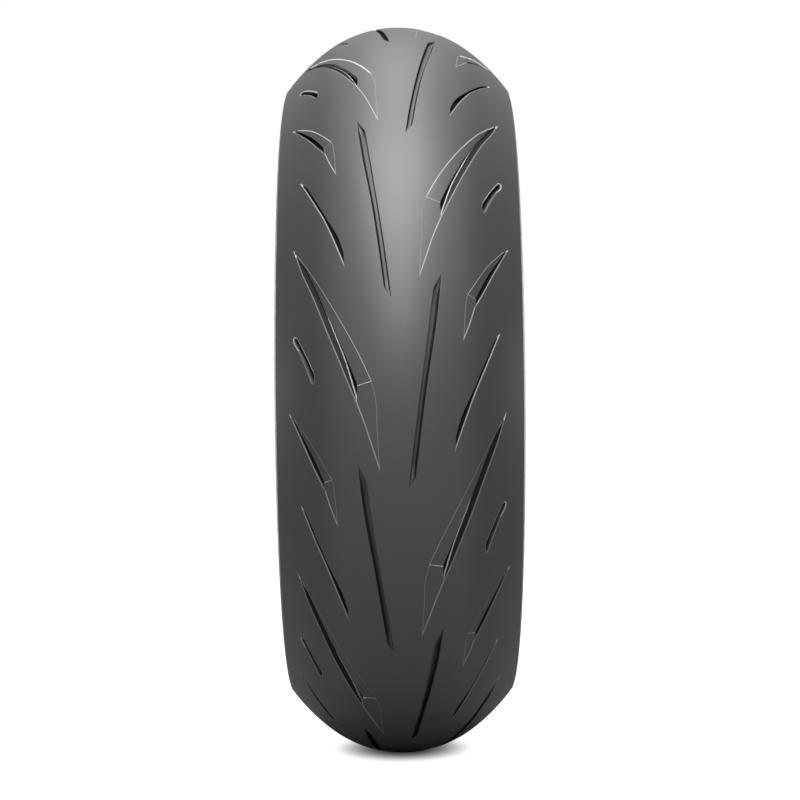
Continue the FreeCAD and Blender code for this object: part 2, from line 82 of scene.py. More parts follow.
# Edges: the width of the rounded edge and the drop across it.
GROOVE_EDGE = (0.5 * MM, 0.5 * MM)
FACET_EDGE = (0.5 * MM, FACET_DEPTH)
TAIL_EDGE = (0.5 * MM, TAIL_DEPTH)
SLOT_EDGE = (1.2 * MM, 0.8 * MM)
LEAN_EDGE = (3.8 * MM, LEAN_DEPTH)
WALL_DRAFT = 12.0
OPEN = None

# Outlines as runs from corner to corner. Each is the strength of the painted highlight along its edge, or
# OPEN where the element runs on into a deeper one, and points on a smooth line: an arc in millimetres
# and a turn in degrees from the head of the centre groove. A run ends where the next begins.
CENTRE_GROOVE = [
    (0, [(33.6, 0.0)]),
    (0, [(25.8, -2.7), (18.6, -12.3), (10.9, -22.3)]),
    (0, [(5.4, -30.4)]),
    (0, [(11.8, -28.5), (20.0, -17.3), (29.0, -7.2)]),
]
WING_GROOVE = [
    (0, [(87.0, -21.7), (76.0, -24.9), (66.0, -28.6), (59.0, -31.2), (53.3, -33.2), (47.2, -35.7),
         (39.8, -38.7)]),
    (0, [(32.4, -41.9)]),
    (1, [(33.0, -44.4), (36.4, -42.3), (43.5, -38.4), (52.9, -34.4), (63.0, -30.2), (74.0, -26.0)]),
]
WING_LEAN = [
    (OPEN, [(92.1, -20.1), (86.0, -22.0), (76.0, -25.1), (66.0, -28.8), (56.0, -32.6), (47.0, -36.3),
            (39.0, -39.9)]),
    (0.2, [(33.0, -44.5), (41.8, -40.9), (51.0, -37.1), (60.9, -33.1), (71.7, -28.7), (83.4, -24.3)]),
]
WING_FACET = [
    (1, [(87.2, -21.4), (84.1, -22.2), (69.5, -26.0), (54.8, -30.2), (41.5, -34.2), (30.9, -37.7)]),
    (0.8, [(21.2, -41.4)]),
    (OPEN, [(32.4, -42.0), (40.0, -39.2), (48.0, -36.0), (56.0, -32.5), (66.0, -28.8), (76.0, -25.1)]),
]
WING_TAIL = [
    (0.2, [(21.9, -40.9), (18.0, -43.9), (17.2, -47.5)]),
    (0.4, [(15.5, -53.5), (20.6, -50.7), (26.6, -47.4)]),
    (OPEN, [(33.0, -44.4)]),
    (OPEN, [(33.4, -42.2)]),
]
SMALL_WING_GROOVE = [
    (0, [(97.6, 6.2), (91.0, 5.0), (82.1, 2.7), (75.0, 0.8), (69.2, -0.9)]),
    (0, [(61.9, -3.3)]),
    (0.2, [(60.8, -4.9), (70.3, -2.2), (80.2, 0.9), (90.8, 4.1)]),
]
SMALL_WING_FACET = [
    (1, [(91.5, 5.4), (87.9, 4.7), (75.9, 2.4), (64.3, -0.4)]),
    (0.6, [(54.4, -3.0)]),
    (OPEN, [(61.6, -3.6), (69.5, -1.4), (78.0, 1.2), (86.0, 3.7)]),
]
SMALL_WING_TAIL = [
    (0.3, [(54.9, -2.6), (52.4, -4.6)]),
    (0.4, [(50.0, -9.8), (56.0, -7.3)]),
    (OPEN, [(60.8, -4.9)]),
    (OPEN, [(62.0, -3.5)]),
]
SIDE_GROOVE = [
    (0, [(86.0, -8.1), (79.8, -9.3), (69.8, -12.7), (58.7, -16.6), (48.1, -20.2)]),
    (0, [(42.9, -23.0)]),
    (0.35, [(42.0, -25.3), (50.9, -21.2), (60.9, -17.0), (72.0, -13.1)]),
]
SLOT = [
    (1, [(71.0, -39.7), (79.0, -37.1), (88.5, -34.4), (92.0, -34.6), (91.0, -35.4)]),
    (0.45, [(86.5, -36.5), (78.0, -39.4), (72.6, -41.5), (70.2, -41.4), (69.6, -40.5)]),
]


# ---- the tread surface ----


def tread_place(arc, turn, depth=0.0):
    """Points at an arc, a turn in radians and a depth in the rubber, with the way out of the rubber."""
    arc, turn = np.asarray(arc, float), np.asarray(turn, float)
    over = np.abs(arc) - CROWN_ARC
    shoulder = over > 0
    joint = math.radians(CROWN_ANGLE)
    slope = np.where(shoulder, joint + over / SHOULDER_RADIUS, np.abs(arc) / CROWN_RADIUS)
    radius = np.where(shoulder, SHOULDER_RADIUS, CROWN_RADIUS)
    step = CROWN_RADIUS - radius
    across = step * math.sin(joint) + (radius - depth) * np.sin(slope)
    height = TYRE_RADIUS - CROWN_RADIUS + step * math.cos(joint) + (radius - depth) * np.cos(slope)
    side, rise = np.sign(arc), np.cos(slope)
    points = np.stack([height * np.cos(turn), side * across, height * np.sin(turn)], axis=-1)
    normals = np.stack([rise * np.cos(turn), side * np.sin(slope), rise * np.sin(turn)], axis=-1)
    return points, normals


def wheel_radius(arc):
    """Distance from the axle of the tread at an arc."""
    return float(np.hypot(*tread_place(arc, 0.0)[0][[0, 2]]))


def smooth_run(points, spacing):
    """A curve through the points, in even steps of about the spacing, without its last point."""
    points = np.array(points, float)
    padded = np.vstack([2 * points[0] - points[1], points, 2 * points[-1] - points[-2]])
    path = []
    for before, start, end, after in zip(padded, padded[1:], padded[2:], padded[3:]):
        steps = max(1, round(np.linalg.norm(end - start) / spacing))
        bend = 2 * before - 5 * start + 4 * end - after
        twist = 3 * start - before - 3 * end + after
        for t in np.arange(steps) / steps:
            path.append(0.5 * (2 * start + (end - before) * t + bend * t**2 + twist * t**3))
    return path


class Cut:
    """One element of the pattern on one half of the tread: its outline and how deep it is inside.

    The side is 1 on the right and -1 on the left, and the start is the turn of its repeat. The edge is the
    width of its rounded edge and the drop across it. The ramps, in millimetres, are the lengths over which
    the floor comes up towards the head and the foot, and the tip is the length of the head that gets a
    painted highlight. The shade is the painted shade that darkens its walls, and its floor too unless that
    has a shade of its own. A sunk element starts from a step that far down, on the floor of a shallower
    one. The line is the width of the painted highlight line on its edge.
    """

    # The distance between points of the outline, the painted highlight line and its fade, the width of a
    # lip's step, the line of mesh outside the edge, how near counts as on the edge, and the distance that
    # open edges are at.
    SPACING = 1.6 * MM
    LINE_WIDTH, LINE_FADE, STEP = 0.6 * MM, 0.2 * MM, 0.15 * MM
    OUTSIDE, TOUCH, FAR = 0.2 * MM, 0.05 * MM, 1.0

    # The part of its depth that a floor keeps at its ends, the part from which the floor's painted shade
    # counts, and the parts of a wall's width that have a line of mesh.
    LEAST_FLOOR, FLOOR_FROM, WALL_SHARES = 0.08, 0.85, (0.35, 1.0)

    # A point that is moved inwards or outwards is kept if it comes this part of the way, and the sharpest
    # corner is moved as if the cosine of half its turn were this.
    KEPT_INSIDE, KEPT_OUTSIDE, SHARPEST = 0.94, 0.5, 0.35

    def __init__(self, runs, floor, side, start, edge, ramps=(0, 0), tip=0, shade=0.0,
                 floor_shade=None, sunk=0.0, line=LINE_WIDTH):
        scaled = [[(arc * MM, math.radians(turn)) for arc, turn in points] for _, points in runs]
        self.radius = wheel_radius(np.mean([arc for run in scaled for arc, _ in run]))
        flat = [[(arc, turn * self.radius) for arc, turn in run] for run in scaled]
        outline, shines = [], []
        for run, following, (shine, _) in zip(flat, flat[1:] + flat[:1], runs):
            stretch = smooth_run(run + following[:1], self.SPACING)
            outline += stretch
            shines += [math.nan if shine is OPEN else shine] * len(stretch)
        self.outline, self.shines = np.array(outline), np.array(shines)
        self.floor, self.side, self.start = floor, side, math.radians(start)
        self.edge, self.drop = edge
        self.shade, self.sunk, self.line = shade, sunk, line
        self.floor_shade = shade if floor_shade is None else floor_shade
        self.lip = self.STEP if sunk else 0.0
        self.head, self.foot = self.outline[:, 1].max(), self.outline[:, 1].min()
        self.head_ramp, self.foot_ramp, self.tip = ramps[0] * MM, ramps[1] * MM, tip * MM
        self.slope = 1 / math.tan(math.radians(WALL_DRAFT))

    def flat(self, arc, turn):
        """The flat place, within the element's own plane, of an arc and turn of the tread."""
        ahead = (turn - self.start + math.pi) % (2 * math.pi) - math.pi
        return np.stack([arc * self.side, ahead * self.radius], axis=-1)

    def laid(self, flat):
        """The arc and turn of places in the element's own plane."""
        return flat[:, 0] * self.side, flat[:, 1] / self.radius + self.start

    def inside(self, places):
        """How far inside its closed edges each place is, negative outside, and the nearest edge's shine."""
        start, end = self.outline, np.roll(self.outline, -1, axis=0)
        along = end - start
        offset = places[:, None, :] - start[None]
        share = np.clip((offset * along).sum(-1) / (along**2).sum(-1), 0, 1)
        away = np.sqrt(((offset - share[..., None] * along) ** 2).sum(-1))
        away = np.where(np.isnan(self.shines), self.FAR, away)
        crossing = (start[:, 1] > places[:, None, 1]) != (end[:, 1] > places[:, None, 1])
        with np.errstate(divide="ignore", invalid="ignore"):
            meets = start[:, 0] + (places[:, None, 1] - start[:, 1]) * along[:, 0] / along[:, 1]
        odd = (crossing & (places[:, None, 0] < meets)).sum(axis=1) % 2 == 1
        return np.where(odd, away.min(axis=1), -away.min(axis=1)), self.shines[away.argmin(axis=1)]

    def floor_share(self, places):
        """Share of the full depth that the floor has, less where it comes up towards the ends."""
        share = np.ones(len(places))
        if self.head_ramp:
            share *= np.clip((self.head - places[:, 1]) / self.head_ramp, self.LEAST_FLOOR, 1)
        if self.foot_ramp:
            share *= np.clip((places[:, 1] - self.foot) / self.foot_ramp, self.LEAST_FLOOR, 1)
        return share

    def depth(self, places):
        """Depth and painted light at places in the element's plane: highlight above 0, shade below 0."""
        inset, shine = self.inside(places)
        beyond = inset - self.lip
        edge = np.clip(beyond, 0, self.edge) * self.drop / self.edge
        step = np.clip(inset / self.STEP, 0, 1) * self.sunk
        wall = step + edge + np.maximum(beyond - self.edge, 0) * self.slope
        floor = self.floor * self.floor_share(places)
        # A painted highlight along the edge line; inside it, painted shade kept below 0.
        line = (beyond > -self.TOUCH) & (beyond < min(self.edge, self.line) + self.TOUCH / 2)
        dark = np.where(wall < self.FLOOR_FROM * floor, self.shade, self.floor_shade)
        shine = np.where(line, shine, -dark * (inset > 0))
        # The head's tip gets a full painted highlight.
        if self.tip:
            shine = np.where((inset > -self.TOUCH) & (self.head - places[:, 1] < self.tip), 1.0, shine)
        return np.minimum(wall, floor), shine

    def contour(self, inset):
        """The outline moved inwards, with the flags that say which points still lie that far in."""
        ahead = np.roll(self.outline, -1, axis=0) - self.outline
        area = (self.outline[:, 0] * ahead[:, 1] - self.outline[:, 1] * ahead[:, 0]).sum()
        ahead /= np.linalg.norm(ahead, axis=1)[:, None]
        behind = np.roll(ahead, 1, axis=0)
        lean = ahead + behind
        lean /= np.linalg.norm(lean, axis=1)[:, None]
        inwards = np.stack([-lean[:, 1], lean[:, 0]], axis=-1)
        if area < 0:
            inwards *= -1
        turn = np.clip((ahead * behind).sum(axis=1), -1, 1)
        reach = 1 / np.sqrt((1 + turn) / 2).clip(self.SHARPEST)
        moved = self.outline + inwards * inset * reach[:, None]
        if inset == 0:
            return moved, np.ones(len(moved), bool)
        reached = self.inside(moved)[0]
        if inset > 0:
            return moved, reached > self.KEPT_INSIDE * inset
        return moved, reached < self.KEPT_OUTSIDE * inset

    def insets(self):
        """Insets with a line of mesh: outside, the edge, the light line's and the edge's foot, the wall."""
        lines = [0.0] if self.lip else []
        if self.edge > 2 * self.line:
            lines += [self.line, self.line + self.LINE_FADE]
        lines += [self.edge, self.edge + self.STEP]
        down = (self.floor - self.sunk - self.drop) / self.slope
        lines += [self.edge + share * down for share in self.WALL_SHARES if share * down > self.LINE_FADE]
        return [-self.OUTSIDE, 0.0] + [self.lip + inset for inset in lines]


def repeat_starts():
    """The turn of each repeat's head from the first, counted downwards."""
    lengths = [LONG_REPEAT] * LONG_REPEATS + [SHORT_REPEAT] * (REPEATS - LONG_REPEATS)
    return [-sum(lengths[:number]) for number in range(REPEATS)]


def pattern():
    """Every cut of the tread."""
    elements = [
        (CENTRE_GROOVE, MAIN_DEPTH, dict(edge=GROOVE_EDGE, ramps=(26, 18), shade=0.8, floor_shade=0.1)),
        (WING_GROOVE, MAIN_DEPTH, dict(edge=GROOVE_EDGE, ramps=(14, 12), shade=0.9, sunk=LEAN_DEPTH)),
        (WING_LEAN, LEAN_DEPTH, dict(edge=LEAN_EDGE, tip=7, shade=0.85)),
        (WING_FACET, FACET_DEPTH, dict(edge=FACET_EDGE)),
        (WING_TAIL, TAIL_DEPTH, dict(edge=TAIL_EDGE)),
        (SMALL_WING_GROOVE, SIDE_DEPTH, dict(edge=GROOVE_EDGE, ramps=(14, 4), tip=3, shade=0.8)),
        (SMALL_WING_FACET, FACET_DEPTH, dict(edge=FACET_EDGE)),
        (SMALL_WING_TAIL, TAIL_DEPTH, dict(edge=TAIL_EDGE)),
        (SIDE_GROOVE, SIDE_DEPTH, dict(edge=GROOVE_EDGE, ramps=(10, 12), tip=3, shade=0.8)),
        (SLOT, SIDE_DEPTH, dict(edge=SLOT_EDGE, shade=0.6, line=0.9 * MM)),
    ]
    return [Cut(outline, depth, side, first + start, **shape)
            for side, first in ((1, RIGHT_START), (-1, LEFT_START))
            for start in repeat_starts()
            for outline, depth, shape in elements]


# Steps round the tyre and rows over the tread's underside, the spacing of points on the plain tread and how
# far they stay off the creases, the distance at which points merge, and a depth that counts as none.
ROUND_STEPS, BACK_ROWS = 720, 25
CELL = 3.5 * MM
CLEAR_OF_LINES = 0.3 * CELL
MERGE = 1e-7
SAME = 0.01 * MM


def tread_lines(cuts):
    """The arcs and turns along every crease and along the tread's two rims, and the edges that join them."""
    places, edges = [], []

    def add_loop(arc, turn, kept):
        number = {int(index): len(places) + count for count, index in enumerate(np.flatnonzero(kept))}
        places.extend((arc[index], turn[index]) for index in number)
        for index in number:
            following = (index + 1) % len(arc)
            if following in number:
                edges.append((number[index], number[following]))

    for cut in cuts:
        for inset in cut.insets():
            moved, kept = cut.contour(inset)
            add_loop(*cut.laid(moved), kept)
    turns = np.arange(ROUND_STEPS) * 2 * math.pi / ROUND_STEPS
    for rim in (-EDGE_ARC, EDGE_ARC):
        add_loop(np.full(ROUND_STEPS, rim), turns, np.ones(ROUND_STEPS, bool))
    return places, edges


def tread_plan(cuts):
    """The tread laid out flat and cut into triangles along every crease: arcs, turns and triangles."""
    places, edges = tread_lines(cuts)
    near = KDTree(len(places))
    for index, (arc, turn) in enumerate(places):
        near.insert(tread_place(arc, turn)[0], index)
    near.balance()
    rows = round(2 * EDGE_ARC / CELL)
    columns = round(2 * math.pi * TYRE_RADIUS / CELL)
    for row in range(1, rows):
        arc = -EDGE_ARC + 2 * EDGE_ARC * row / rows
        for column in range(columns):
            turn = 2 * math.pi * (column + (row % 2) / 2) / columns
            if near.find(tread_place(arc, turn)[0])[2] > CLEAR_OF_LINES:
                places.append((arc, turn))

    flat = [Vector(((TYRE_RADIUS + arc) * math.cos(turn), (TYRE_RADIUS + arc) * math.sin(turn)))
            for arc, turn in places]
    corners, _, triangles, _, _, _ = delaunay_2d_cdt(flat, edges, [], 0, MERGE)
    corners = np.array([tuple(corner) for corner in corners])
    arc = np.hypot(corners[:, 0], corners[:, 1]) - TYRE_RADIUS
    turn = np.arctan2(corners[:, 1], corners[:, 0])
    triangles = np.array([tuple(triangle) for triangle in triangles])
    # The triangulation also fills the ring's hole, with triangles between points of the inner rim alone.
    inner = arc < -EDGE_ARC + 5 * SAME
    triangles = triangles[~inner[triangles].all(axis=1)]
    return arc, turn, triangles


def tread_depths(cuts, arc, turn):
    """The deepest cut at each place of the tread, and its painted light: edge highlight, hollow shade."""
    depth, shine = np.zeros(len(arc)), np.zeros(len(arc))
    for cut in cuts:
        places = cut.flat(arc, turn)
        low, high = cut.outline.min(axis=0) - MM, cut.outline.max(axis=0) + MM
        close = np.flatnonzero(((places > low) & (places < high)).all(axis=1))
        deep, light = cut.depth(places[close])
        level = np.abs(deep - depth[close]) < SAME
        stronger = np.abs(light) > np.abs(shine[close])
        wins = np.where(level, stronger, deep > depth[close])
        shine[close] = np.where(wins, light, shine[close])
        depth[close] = np.maximum(depth[close], deep)
    return depth, shine


# Faces that turn by more than this, in degrees, meet at a sharp edge.
SHARP_ANGLE = 32.0


def mesh_object(name, corners, faces, normals=None):
    """A mesh piece, smooth except at sharp edges, or with the corner normals given."""
    mesh = bpy.data.meshes.new(name)
    mesh.from_pydata([tuple(corner) for corner in corners], [], [tuple(face) for face in faces])
    mesh.update()
    mesh.polygons.foreach_set("use_smooth", [True] * len(mesh.polygons))
    if normals is None:
        mesh.set_sharp_from_angle(angle=math.radians(SHARP_ANGLE))
    else:
        mesh.normals_split_custom_set([tuple(normal) for normal in normals])
    piece = bpy.data.objects.new(name, mesh)
    bpy.context.scene.collection.objects.link(piece)
    return piece


# Cosines of the turn up to which a face counts as level with the tread, and two walls as facing alike.
LEVEL_COSINE, ALIKE_COSINE = 0.985, 0.5


def tread_normals(points, outwards, depth, triangles):
    """Corner normals: the surface's own on the tread and on level floors, averaged ones on the walls.

    A wall's upper corners take the tread's own normal, so that an edge catches the light like a round one.
    """
    a, b, c = (points[triangles[:, k]] for k in range(3))
    facing = np.cross(b - a, c - a)
    unit = facing / np.linalg.norm(facing, axis=1)[:, None].clip(1e-12)
    level = (unit * outwards[triangles].mean(axis=1)).sum(axis=1) > LEVEL_COSINE
    normals = np.zeros((len(triangles), 3, 3))
    normals[level] = outwards[triangles[level]]
    # A wall corner averages only the walls that face much the same way.
    walls = {}
    for face in np.flatnonzero(~level):
        for corner in triangles[face]:
            walls.setdefault(int(corner), []).append(int(face))
    for corner, faces in walls.items():
        alike = unit[faces] @ unit[faces].T > ALIKE_COSINE
        mean = alike @ facing[faces]
        mean /= np.linalg.norm(mean, axis=1)[:, None].clip(1e-12)
        for face, normal in zip(faces, mean):
            rounded = outwards[corner] if depth[corner] < SAME else normal
            normals[face, list(triangles[face]).index(corner)] = rounded
    return normals.reshape(-1, 3)


def tread_back(first):
    """Points, faces and corner normals of the tread's edge faces and underside, numbered from the first."""
    arcs = np.linspace(-EDGE_ARC, EDGE_ARC, BACK_ROWS)
    arcs = np.concatenate([arcs[:1], arcs, arcs[-1:]])
    depths = np.full(len(arcs), TREAD_THICKNESS)
    depths[[0, -1]] = 0
    turns = np.arange(ROUND_STEPS) * 2 * math.pi / ROUND_STEPS
    rows = [tread_place(np.full(ROUND_STEPS, arc), turns, depth) for arc, depth in zip(arcs, depths)]
    points, outwards = (np.concatenate([row[kind] for row in rows]) for kind in (0, 1))
    faces, normals = [], []
    for row in range(len(arcs) - 1):
        underside = 0 < row < len(arcs) - 2
        for step in range(ROUND_STEPS):
            here, ahead = row * ROUND_STEPS + step, row * ROUND_STEPS + (step + 1) % ROUND_STEPS
            face = [here, ahead, ahead + ROUND_STEPS, here + ROUND_STEPS]
            faces.append([first + corner for corner in face])
            if underside:
                normals += [-outwards[corner] for corner in face]
            else:
                a, b, _, d = points[face]
                normals += [np.cross(b - a, d - a)] * 4
    return points, faces, normals


def make_tread():
    """The grooved tread in one closed piece, with its painted highlights and shade kept on its points."""
    cuts = pattern()
    arc, turn, triangles = tread_plan(cuts)
    depth, shine = tread_depths(cuts, arc, turn)
    points, outwards = tread_place(arc, turn)
    points -= outwards * depth[:, None]
    a, b, c = (points[triangles[:, k]] for k in range(3))
    inward = (np.cross(b - a, c - a) * outwards[triangles].sum(axis=1)).sum(axis=1) < 0
    triangles[inward] = triangles[inward][:, ::-1]
    normals = tread_normals(points, outwards, depth, triangles)
    back_points, back_faces, back_normals = tread_back(len(points))
    corners = np.concatenate([points, back_points])
    faces = triangles.tolist() + back_faces
    piece = mesh_object("tread", corners, faces, list(normals) + back_normals)
    # Kept on each point: the painted highlight on edges, and below 0 the painted shade in hollows.
    kept = piece.data.attributes.new("edge_shine", "FLOAT", "POINT")
    kept.data.foreach_set("value", np.concatenate([shine, np.zeros(len(back_points))]))
    return piece


# ---- raised marks on the sidewalls ----


# The wall's round curve: the middle of its circle, across and from the axle, and its radius.
WALL_CENTRE = (77.4 * MM, 255.0 * MM)
WALL_RADIUS = 20.0 * MM

# Angles on that curve, from straight out of the tyre down towards the bead, and round the axle, in degrees.
HATCH_SPAN = (104.0, 126.0)
HATCH_PITCH, HATCH_WIDTH, HATCH_LEAN = 1.5, 0.55, 1.1
HATCH_STEPS, HATCH_END = 7, 0.35
HATCH_GAPS, GAP_SHARE = 4, 0.22
RING_SPANS = ((100.8, 102.2), (128.6, 130.4))

# A mark's cross-section: places over its width and heights over the wall, its foot sunk into the rubber.
MARK_RISE, MARK_SINK, MARK_EDGE = 0.3 * MM, 0.15 * MM, 0.1 * MM
RING_RISE = 0.8
MARK_SECTION = [(-0.5, -MARK_SINK), (-0.5, MARK_EDGE), (-0.32, MARK_RISE),
                (0.32, MARK_RISE), (0.5, MARK_EDGE), (0.5, -MARK_SINK)]


def wall_point(side, turn, lean, rise):
    """A place on the rounded wall, by its turn round the axle, its angle on the curve and its height."""
    across = WALL_CENTRE[0] + (WALL_RADIUS + rise) * math.sin(lean)
    radius = WALL_CENTRE[1] + (WALL_RADIUS + rise) * math.cos(lean)
    return (radius * math.cos(turn), across * side, radius * math.sin(turn))


def hatch_bar(side, bar):
    """The rows of points of one leaning hatch bar, lower and narrower at its ends."""
    rows = []
    for share in np.linspace(0, 1, HATCH_STEPS):
        lean = math.radians(HATCH_SPAN[0] + share * (HATCH_SPAN[1] - HATCH_SPAN[0]))
        low = HATCH_END if share in (0, 1) else 1.0
        width = HATCH_WIDTH * (0.75 + 0.25 * low)
        middle = bar * HATCH_PITCH + share * HATCH_LEAN
        rows.append([
            wall_point(side, math.radians(middle + place * width), lean, rise * low if rise > 0 else rise)
            for place, rise in MARK_SECTION
        ])
    return rows


def wall_ring(side, inner, outer):
    """The rows of points of a raised ring between two angles on the wall's curve."""
    middle, half = math.radians((inner + outer) / 2), math.radians(outer - inner) / 2
    return [[wall_point(side, 2 * math.pi * step / ROUND_STEPS, middle + 2 * place * half, rise * RING_RISE)
             for place, rise in MARK_SECTION]
            for step in range(ROUND_STEPS)]


def add_rib(corners, faces, rows, closed):
    """A rib through rows of points that each go once round it, joined up as a ring or capped at its ends."""
    first, count = len(corners), len(rows[0])
    for row in rows:
        corners += row
    for number in range(len(rows) if closed else len(rows) - 1):
        here, ahead = first + number * count, first + (number + 1) % len(rows) * count
        for place in range(count):
            beside = (place + 1) % count
            faces.append((here + place, here + beside, ahead + beside, ahead + place))
    if not closed:
        faces.append(tuple(range(first, first + count))[::-1])
        faces.append(tuple(range(first + (len(rows) - 1) * count, first + len(rows) * count)))


def make_wall_marks(name, side):
    """Two thin raised rings with leaning hatch bars between them, in groups with plain rubber between."""
    corners, faces = [], []
    bars = round(360 / HATCH_PITCH)
    group = bars // HATCH_GAPS
    for bar in range(bars):
        if bar % group < group * (1 - GAP_SHARE):
            add_rib(corners, faces, hatch_bar(side, bar), closed=False)
    for span in RING_SPANS:
        add_rib(corners, faces, wall_ring(side, *span), closed=True)
    marks = mesh_object(name, corners, faces)
    shell = bmesh.new()
    shell.from_mesh(marks.data)
    bmesh.ops.recalc_face_normals(shell, faces=shell.faces)
    shell.to_mesh(marks.data)
    shell.free()
    return marks


# ---- finishes ----


# The tread's painted highlight on its edges, its painted shade in the hollows and its shoulders darkened
# as painted shade, which start and end their change this far across.
PAINTED_HIGHLIGHT_COLOUR = (0.5, 0.505, 0.51, 1.0)
HOLLOW_PAINTED_SHADE = (0.004, 0.004, 0.005, 1.0)
SHOULDER_PAINTED_SHADE = (0.04, 0.042, 0.045, 1.0)
CENTRE_STRIP, SHOULDER_STRIP = 42 * MM, 66 * MM

# Sizes of soft patches, of the mould's fine texture and of its grain, as repeats in a metre.
BLOOM_SCALE, TEXTURE_SCALE, GRAIN_SCALE, FUZZ_SCALE, STAIN_SCALE = 9.0, 240.0, 900.0, 500.0, 130.0

# What moulds leave on rubber: its height, the rings on the wall and the ribs on the liner. Then the weft of
# the fabric and the streaks of the wire.
MOULD_HEIGHT = 0.12 * MM
RING_SPACING, RIB_SPACING, RIBS_ROUND = 0.45 * MM, 4 * MM, 300.0
WEFT_SPACING, STREAK_SPACING = 1.0 * MM, 0.12 * MM


class Socket:
    """An output of a shader node that takes part in Python sums, each of which adds its Math node."""

    def __init__(self, finish, output):
        self.finish, self.output = finish, output

    def math(self, operation, *values):
        return self.finish.add("ShaderNodeMath", {"operation": operation}, dict(enumerate(values)))

    def __add__(self, other):
        return self.math("ADD", self, other)

    def __sub__(self, other):
        return self.math("SUBTRACT", self, other)

    def __rsub__(self, other):
        return self.math("SUBTRACT", other, self)

    def __mul__(self, other):
        return self.math("MULTIPLY", self, other)

    __radd__, __rmul__ = __add__, __mul__

    def __pow__(self, other):
        return self.math("POWER", self, other)

    def __rpow__(self, other):
        return self.math("POWER", other, self)

    def __neg__(self):
        return self.math("MULTIPLY", self, -1.0)


class Finish:
    """The nodes of a material, or of the world, while they are being put together."""

    def __init__(self, holder, shader):
        self.holder = holder
        holder.use_nodes = True
        self.tree = holder.node_tree
        self.shader = self.tree.nodes[shader]

    def add(self, kind, settings=None, values=None, output=0):
        """A node of a type, with its settings and then the values or links of its sockets."""
        node = self.tree.nodes.new(kind)
        for name, setting in (settings or {}).items():
            setattr(node, name, setting)
        for name, value in (values or {}).items():
            self.connect(node.inputs[name], value)
        return Socket(self, node.outputs[output])

    def connect(self, target, value):
        if isinstance(value, Socket):
            self.tree.links.new(value.output, target)
        else:
            target.default_value = value

    def place(self):
        return self.add("ShaderNodeTexCoord", output="Object")

    def wheel_place(self):
        """Turn round the axle, distance across from the centre and distance from the axle."""
        parts = [self.add("ShaderNodeSeparateXYZ", None, {0: self.place()}, output=name) for name in "XYZ"]
        turn = parts[2].math("ARCTAN2", parts[2], parts[0])
        return turn, parts[1], (parts[0] * parts[0] + parts[2] * parts[2]) ** 0.5

    def noise(self, scale, detail=3.0):
        values = {"Vector": self.place(), "Scale": scale, "Detail": detail}
        return self.add("ShaderNodeTexNoise", None, values)

    def wave(self, amount):
        """A share that swings between 0 and 1 as the amount, in radians, goes on."""
        return amount.math("SINE", amount) * 0.5 + 0.5

    def ramp(self, value, start, end):
        """A soft share that goes from 0 at the start to 1 at the end."""
        ends = {"Value": value, "From Min": start, "From Max": end}
        return self.add("ShaderNodeMapRange", {"interpolation_type": "SMOOTHSTEP"}, ends)

    def blend(self, share, start, end):
        """A colour between two, by a share."""
        return self.add("ShaderNodeMix", {"data_type": "RGBA"}, {0: share, 6: start, 7: end}, output=2)

    def bump(self, height, distance):
        return self.add("ShaderNodeBump", None, {"Strength": 1.0, "Distance": distance, "Height": height})

    def overlay(self, share, other):
        """Lays another shader over the first one, by a share that is kept between 0 and 1."""
        held = self.add("ShaderNodeMath", {"operation": "ADD", "use_clamp": True}, {0: share, 1: 0.0})
        under = Socket(self, self.shader.outputs[0])
        both = self.add("ShaderNodeMixShader", None, {0: held, 1: under, 2: other})
        self.connect(self.tree.nodes["Material Output"].inputs["Surface"], both)

    def finish(self, **inputs):
        """Sets the shader's sockets, named with underscores, and hands the material or world back."""
        for name, value in inputs.items():
            self.connect(self.shader.inputs[name.replace("_", " ")], value)
        return self.holder


def new_finish(name):
    return Finish(bpy.data.materials.new(name), "Principled BSDF")


def shades(colour, spread):
    """A darker and a lighter colour round one."""
    return [tuple(channel * (1 + way * spread) for channel in colour) + (1.0,) for way in (-1, 1)]


def rubber(name, colour, roughness, grain, mould=None, tread=False):
    """Moulded rubber: fine grain from the mould and faint bloom in soft patches.

    The mould, if there is one, is a function that gives the height of what it leaves on the rubber. Tread
    rubber has painted shade darkening its shoulders and hollows, and painted highlights on its edges.
    """
    made = new_finish(name)
    bloom = made.noise(BLOOM_SCALE, 4.0)
    speck = made.noise(GRAIN_SCALE, 2.0)
    base = made.blend(bloom, *shades(colour, 0.12))
    height = speck * 0.7 + made.noise(TEXTURE_SCALE, 3.0) * 0.3
    if tread:
        # Painted shade: the colour darkens towards the shoulders, standing in for light that falls off over
        # them.
        across = made.wheel_place()[1]
        outer = made.ramp(across.math("ABSOLUTE", across), CENTRE_STRIP, SHOULDER_STRIP)
        base = made.blend(outer, base, SHOULDER_PAINTED_SHADE)
        share = made.add("ShaderNodeAttribute", {"attribute_name": "edge_shine"}, output="Fac")
        # Painted highlight: where the attribute is above 0 the colour is lightened towards a pale grey.
        base = made.blend(share, base, PAINTED_HIGHLIGHT_COLOUR)
        # Painted shade: below 0 the attribute lays a near-black diffuse over the rubber in the hollows.
        made.overlay(-share, made.add("ShaderNodeBsdfDiffuse", None, {"Color": HOLLOW_PAINTED_SHADE}))
    if mould:
        height = height + mould(made) * (MOULD_HEIGHT / grain)
    return made.finish(
        Base_Color=base,
        Roughness=roughness + (bloom - 0.5) * 0.1 + (speck - 0.5) * 0.08,
        Normal=made.bump(height, grain),
    )


def turned_rings(made):
    """Fine rings round the axle, as a turned mould leaves them on the wall."""
    _, across, radius = made.wheel_place()
    return made.wave((radius - across.math("ABSOLUTE", across)) * (math.pi / RING_SPACING)) * 0.35


def bladder_ribs(made):
    """Slanting ribs that the curing bladder presses into the liner."""
    turn, across, _ = made.wheel_place()
    return made.wave(turn * RIBS_ROUND + across * (math.pi / RIB_SPACING))


